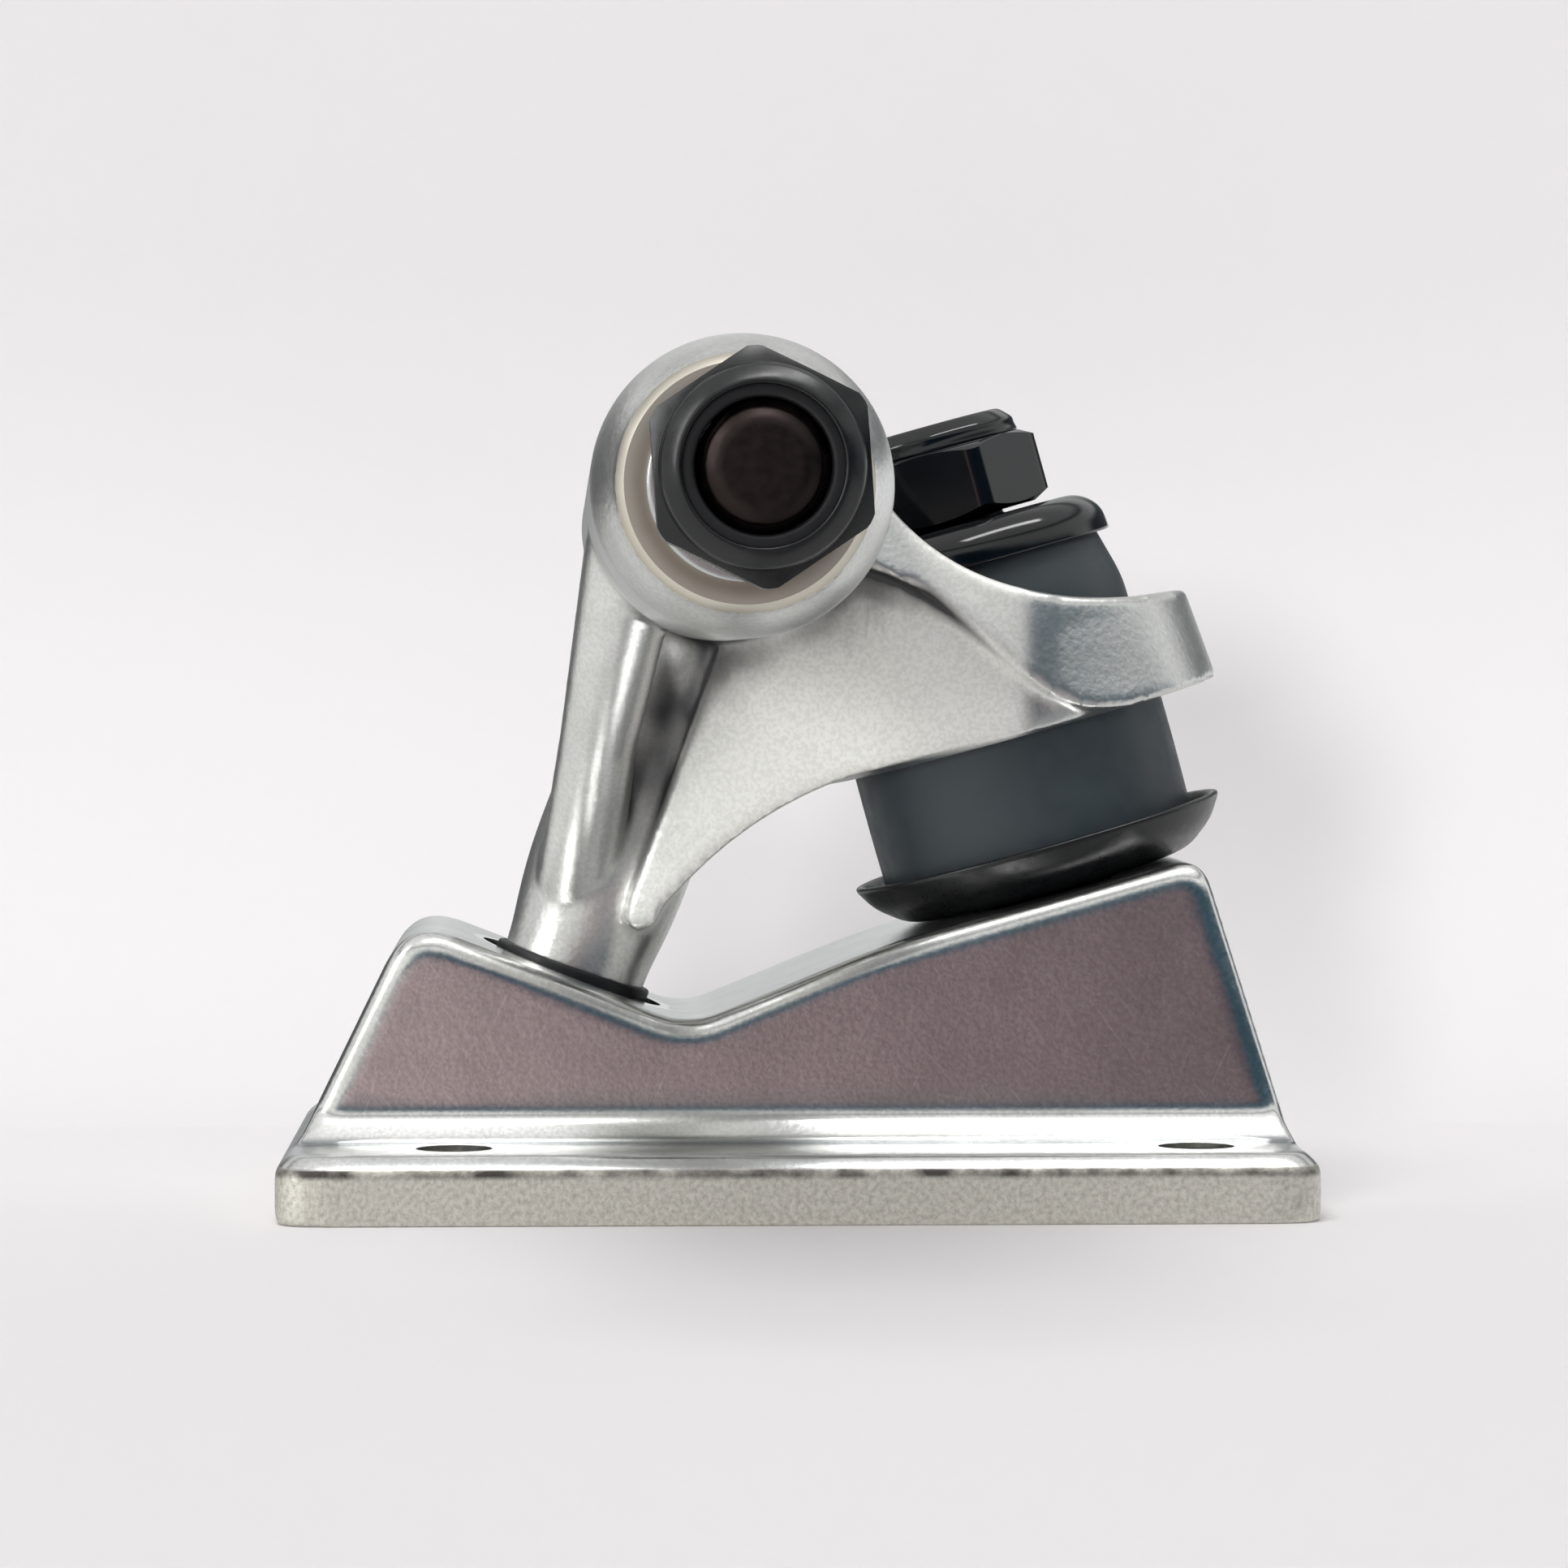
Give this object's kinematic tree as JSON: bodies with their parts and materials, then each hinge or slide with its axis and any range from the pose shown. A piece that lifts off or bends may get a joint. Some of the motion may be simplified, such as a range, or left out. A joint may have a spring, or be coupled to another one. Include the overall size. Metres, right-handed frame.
{
  "type": "skateboard truck",
  "caption": "Cast skateboard truck: a baseplate, a leaning kingpin with cup washers and bushings, and a hanger on a through axle that tilts to steer, with speed washers and lock nuts.",
  "frame": {"origin": "centre of the deck face, the baseplate's flat underside", "axes": "+Y along the axle, +Z away from the deck face, +X from the pivot towards the kingpin"},
  "size_m": [0.0754, 0.2096, 0.0616],
  "materials": {
    "cast_aluminium": "polished casting",
    "dark_steel": "dark heat-treated",
    "zinc_steel": "bright zinc",
    "black_steel": "glossy black",
    "urethane": "satin slate grey",
    "black_nylon": "satin black"
  },
  "bodies": {
    "base": {"baseplate": "cast_aluminium", "pivot_cup": "black_nylon", "kingpin": "dark_steel", "lower_cup_washer": "black_steel", "lower_bushing": "urethane"},
    "hanger": {"hanger": "cast_aluminium", "axle": "dark_steel", "upper_bushing": "urethane"},
    "upper_washer": {"upper_cup_washer": "black_steel"},
    "kingpin_nut": {"kingpin_nut": "black_steel", "kingpin_nut_insert": "black_nylon"},
    "left_inner_washer": {"left_inner_speed_washer": "zinc_steel"},
    "left_outer_washer": {"left_outer_speed_washer": "zinc_steel"},
    "left_nut": {"left_axle_nut": "black_steel", "left_axle_nut_insert": "black_nylon"},
    "right_inner_washer": {"right_inner_speed_washer": "zinc_steel"},
    "right_outer_washer": {"right_outer_speed_washer": "zinc_steel"},
    "right_nut": {"right_axle_nut": "black_steel", "right_axle_nut_insert": "black_nylon"}
  },
  "joints": [
    {"name": "steer", "type": "hinge", "parent": "base", "child": "hanger", "pos_m": [-0.01888, 0, 0.00946], "axis": [0.7713, 0, 0.6365], "range_deg": [-15, 15], "stiffness_Nm_per_rad": 12, "deforming": ["lower_bushing", "upper_bushing", "pivot_cup"]},
    {"name": "kingpin_nut_travel", "type": "slide", "parent": "base", "child": "upper_washer", "axis": [-0.2672, 0, 0.9636], "range_m": [-0.00106, 0.00212]},
    {"name": "kingpin_nut_turn", "type": "hinge", "parent": "upper_washer", "child": "kingpin_nut", "pos_m": [0.0201, 0, 0.0231], "axis": [-0.2672, 0, 0.9636], "range_deg": [-360, 720]},
    {"name": "left_inner_washer_slide", "type": "slide", "parent": "hanger", "child": "left_inner_washer", "axis": [0, -1, 0], "range_m": [0, 0.0175]},
    {"name": "left_nut_travel", "type": "slide", "parent": "hanger", "child": "left_outer_washer", "axis": [0, -1, 0], "range_m": [-0.00529, 0.00106]},
    {"name": "left_nut_turn", "type": "hinge", "parent": "left_outer_washer", "child": "left_nut", "pos_m": [-0.0054, 0, 0.0517], "axis": [0, -1, 0], "range_deg": [-1800, 360]},
    {"name": "right_inner_washer_slide", "type": "slide", "parent": "hanger", "child": "right_inner_washer", "axis": [0, 1, 0], "range_m": [0, 0.0175]},
    {"name": "right_nut_travel", "type": "slide", "parent": "hanger", "child": "right_outer_washer", "axis": [0, 1, 0], "range_m": [-0.00529, 0.00106]},
    {"name": "right_nut_turn", "type": "hinge", "parent": "right_outer_washer", "child": "right_nut", "pos_m": [-0.0054, 0, 0.0517], "axis": [0, 1, 0], "range_deg": [-1800, 360]}
  ],
  "couplings": [
    {"joint": "kingpin_nut_turn", "follows": "kingpin_nut_travel", "rad_per_m": 5936.9},
    {"joint": "left_nut_turn", "follows": "left_nut_travel", "rad_per_m": 5936.9},
    {"joint": "right_nut_turn", "follows": "right_nut_travel", "rad_per_m": 5936.9}
  ]
}
